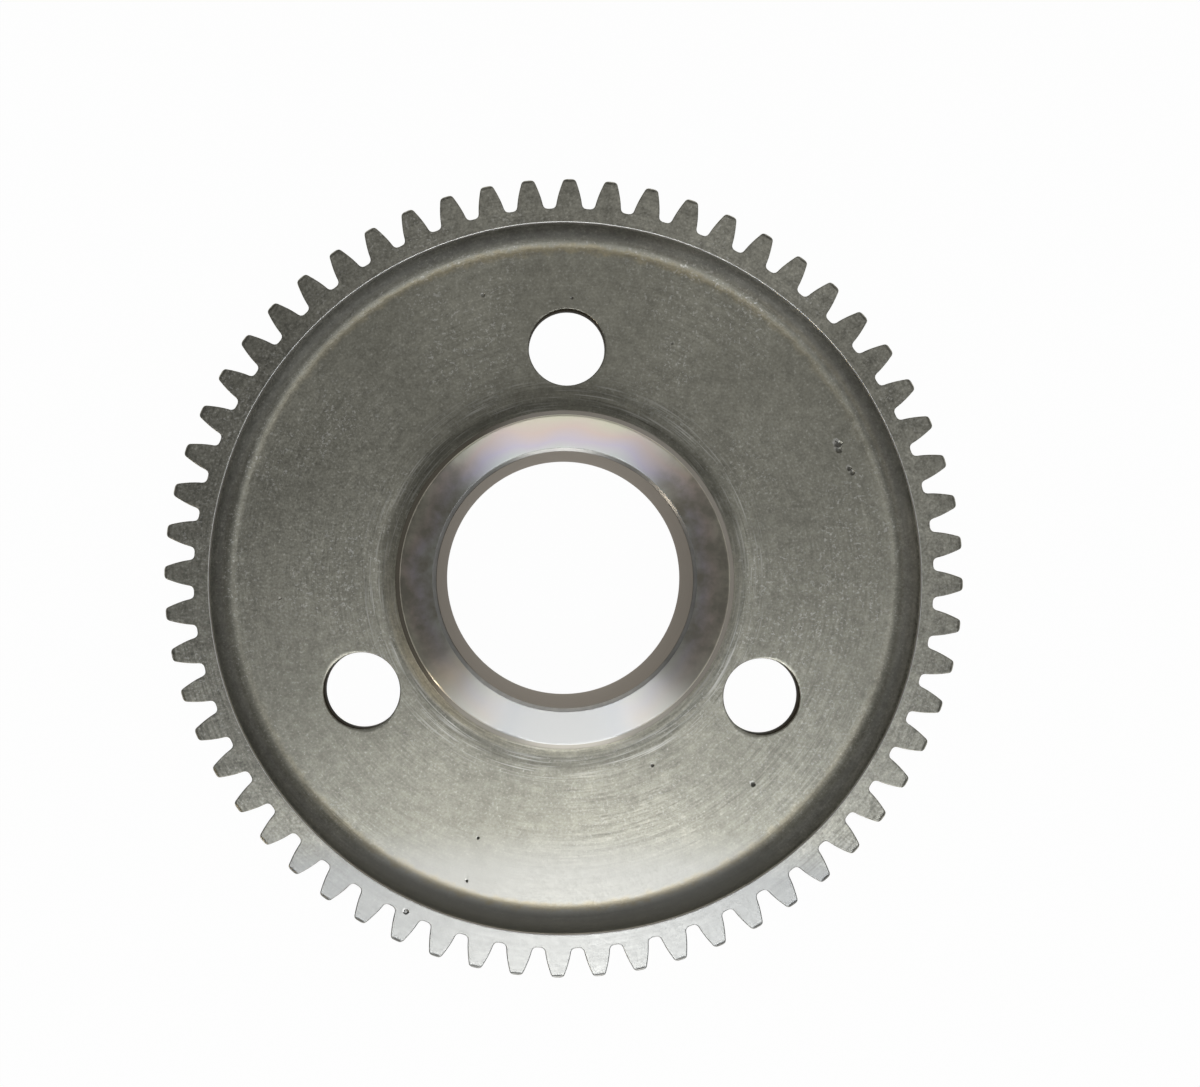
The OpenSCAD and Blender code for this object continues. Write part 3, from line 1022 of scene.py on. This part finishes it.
studio = {
    "floorColour": "#f4f4f2",
    "floorSize": 6.0,             # in metres, as the panels' distances and sizes are
    "floorDropMm": 0.05,          # keeps it clear of the back thrust face
    "floorShine": 0.98,           # share of plain white that the floor shows to the camera
    "overhead": 0.15,
    "horizon": 0.3,
    "wallHeights": (0.05, 0.75),  # as the sine of the angle above the floor
    "skirting": 0.5,              # the walls are pale next to the floor
    "skirtingHeights": (0.24, 0.1),
    "lighterSide": (0.17, -0.1, 0),   # the walls to the right and in front are lighter
    "panels": (
        # name, azimuth, tilt from overhead, distance, width, height, radiance, colour
        ("window_middle", 178, 18.5, 0.9, 0.25, 0.15, 6.9, "#ffffff"),
        ("window_right", 147, 22.0, 0.9, 0.13, 0.15, 5.3, "#e8f0ff"),
        ("window_left", -150, 22.0, 0.9, 0.13, 0.15, 4.2, "#e8f0ff"),
        ("front_panel", 176, 79, 0.9, 0.5, 0.25, 3.4, "#ffffff"),
        ("front_middle", 178, 62, 0.9, 0.5, 0.32, 0.9, "#ffffff"),
        ("far_panel", 8, 16, 0.9, 0.4, 0.25, 0.42, "#ffffff"),
        ("right_panel", 85, 24, 0.9, 0.5, 0.35, 0.2, "#ffffff"),
        ("left_lamp", -130, 79, 0.8, 0.07, 0.07, 20.0, "#fff1dd"),
        ("left_lamp_high", -132, 46, 0.8, 0.05, 0.05, 12.0, "#ffe3a8"),
    ),
}


def makeFloor(s):
    half = s["floorSize"] / 2
    corners = [(-half, -half, 0), (half, -half, 0), (half, half, 0), (-half, half, 0)]
    mesh = bpy.data.meshes.new("floor")
    mesh.from_pydata(corners, [], [(0, 1, 2, 3)])
    floor = bpy.data.objects.new("floor", mesh)
    floor.location.z = -s["floorDropMm"] * mm
    bpy.context.scene.collection.objects.link(floor)
    material, tree, _ = newMaterial("white_floor")
    ray = addNode(tree, "LightPath").outputs
    seen = ray["Is Camera Ray"]
    for kind in ("Is Glossy Ray", "Is Transmission Ray"):
        seen = addNode(tree, "Math", larger, {0: seen, 1: ray[kind]}).outputs[0]
    share = addNode(tree, "Math", times, {0: seen, 1: s["floorShine"]}).outputs[0]
    matt = addNode(tree, "BsdfDiffuse", None, {"Color": linear(s["floorColour"])}).outputs[0]
    white = addNode(tree, "Emission", None, {"Color": (1, 1, 1, 1), "Strength": 1.0}).outputs[0]
    mixed = addNode(tree, "MixShader", None, {0: share, 1: matt, 2: white}).outputs[0]
    addNode(tree, "OutputMaterial", None, {"Surface": mixed})
    mesh.materials.append(material)


def makeWalls(s):
    # the walls fade from the horizon to overhead, and are pale next to the floor
    world = bpy.data.worlds.new("studio_walls")
    world.use_nodes = True
    tree = world.node_tree
    tree.nodes.clear()
    towards = addNode(tree, "TexCoord").outputs["Generated"]
    height = addNode(tree, "SeparateXYZ", None, {0: towards}).outputs["Z"]
    side = addNode(tree, "VectorMath", dotted, {0: towards, 1: s["lighterSide"]}).outputs[1]
    wall = addNode(tree, "Math", plus, {0: side, 1: s["horizon"]}).outputs[0]
    low = addNode(tree, "MapRange", smooth, {0: height, **ends(s["skirtingHeights"])}).outputs[0]
    wall = addNode(tree, "Mix", None, {0: low, 2: wall, 3: s["skirting"]}).outputs[0]
    level = addNode(tree, "MapRange", smooth, {
        0: height, **ends(s["wallHeights"]), 3: wall, 4: s["overhead"]}).outputs[0]
    glow = addNode(tree, "Background", None, {"Color": (1, 1, 1, 1), "Strength": level}).outputs[0]
    addNode(tree, "OutputWorld", None, {"Surface": glow})
    bpy.context.scene.world = world


def makePanels(s):
    for name, azimuth, tilt, distance, width, height, radiance, colour in s["panels"]:
        lamp = bpy.data.lights.new(name, "AREA")
        lamp.shape = "RECTANGLE"
        lamp.size, lamp.size_y = width, height
        lamp.energy = radiance * math.pi * width * height
        lamp.color = linear(colour)[:3]
        panel = bpy.data.objects.new(name, lamp)
        x, y = direction(azimuth) * math.sin(math.radians(tilt))
        panel.location = Vector((x, y, math.cos(math.radians(tilt)))) * distance
        panel.rotation_euler = (-panel.location).to_track_quat("-Z", "Y").to_euler()
        bpy.context.scene.collection.objects.link(panel)
    print("studio lit with", len(s["panels"]), "panels")


makeFloor(studio)
makeWalls(studio)
makePanels(studio)
bpy.context.scene.view_settings.view_transform = "Standard"
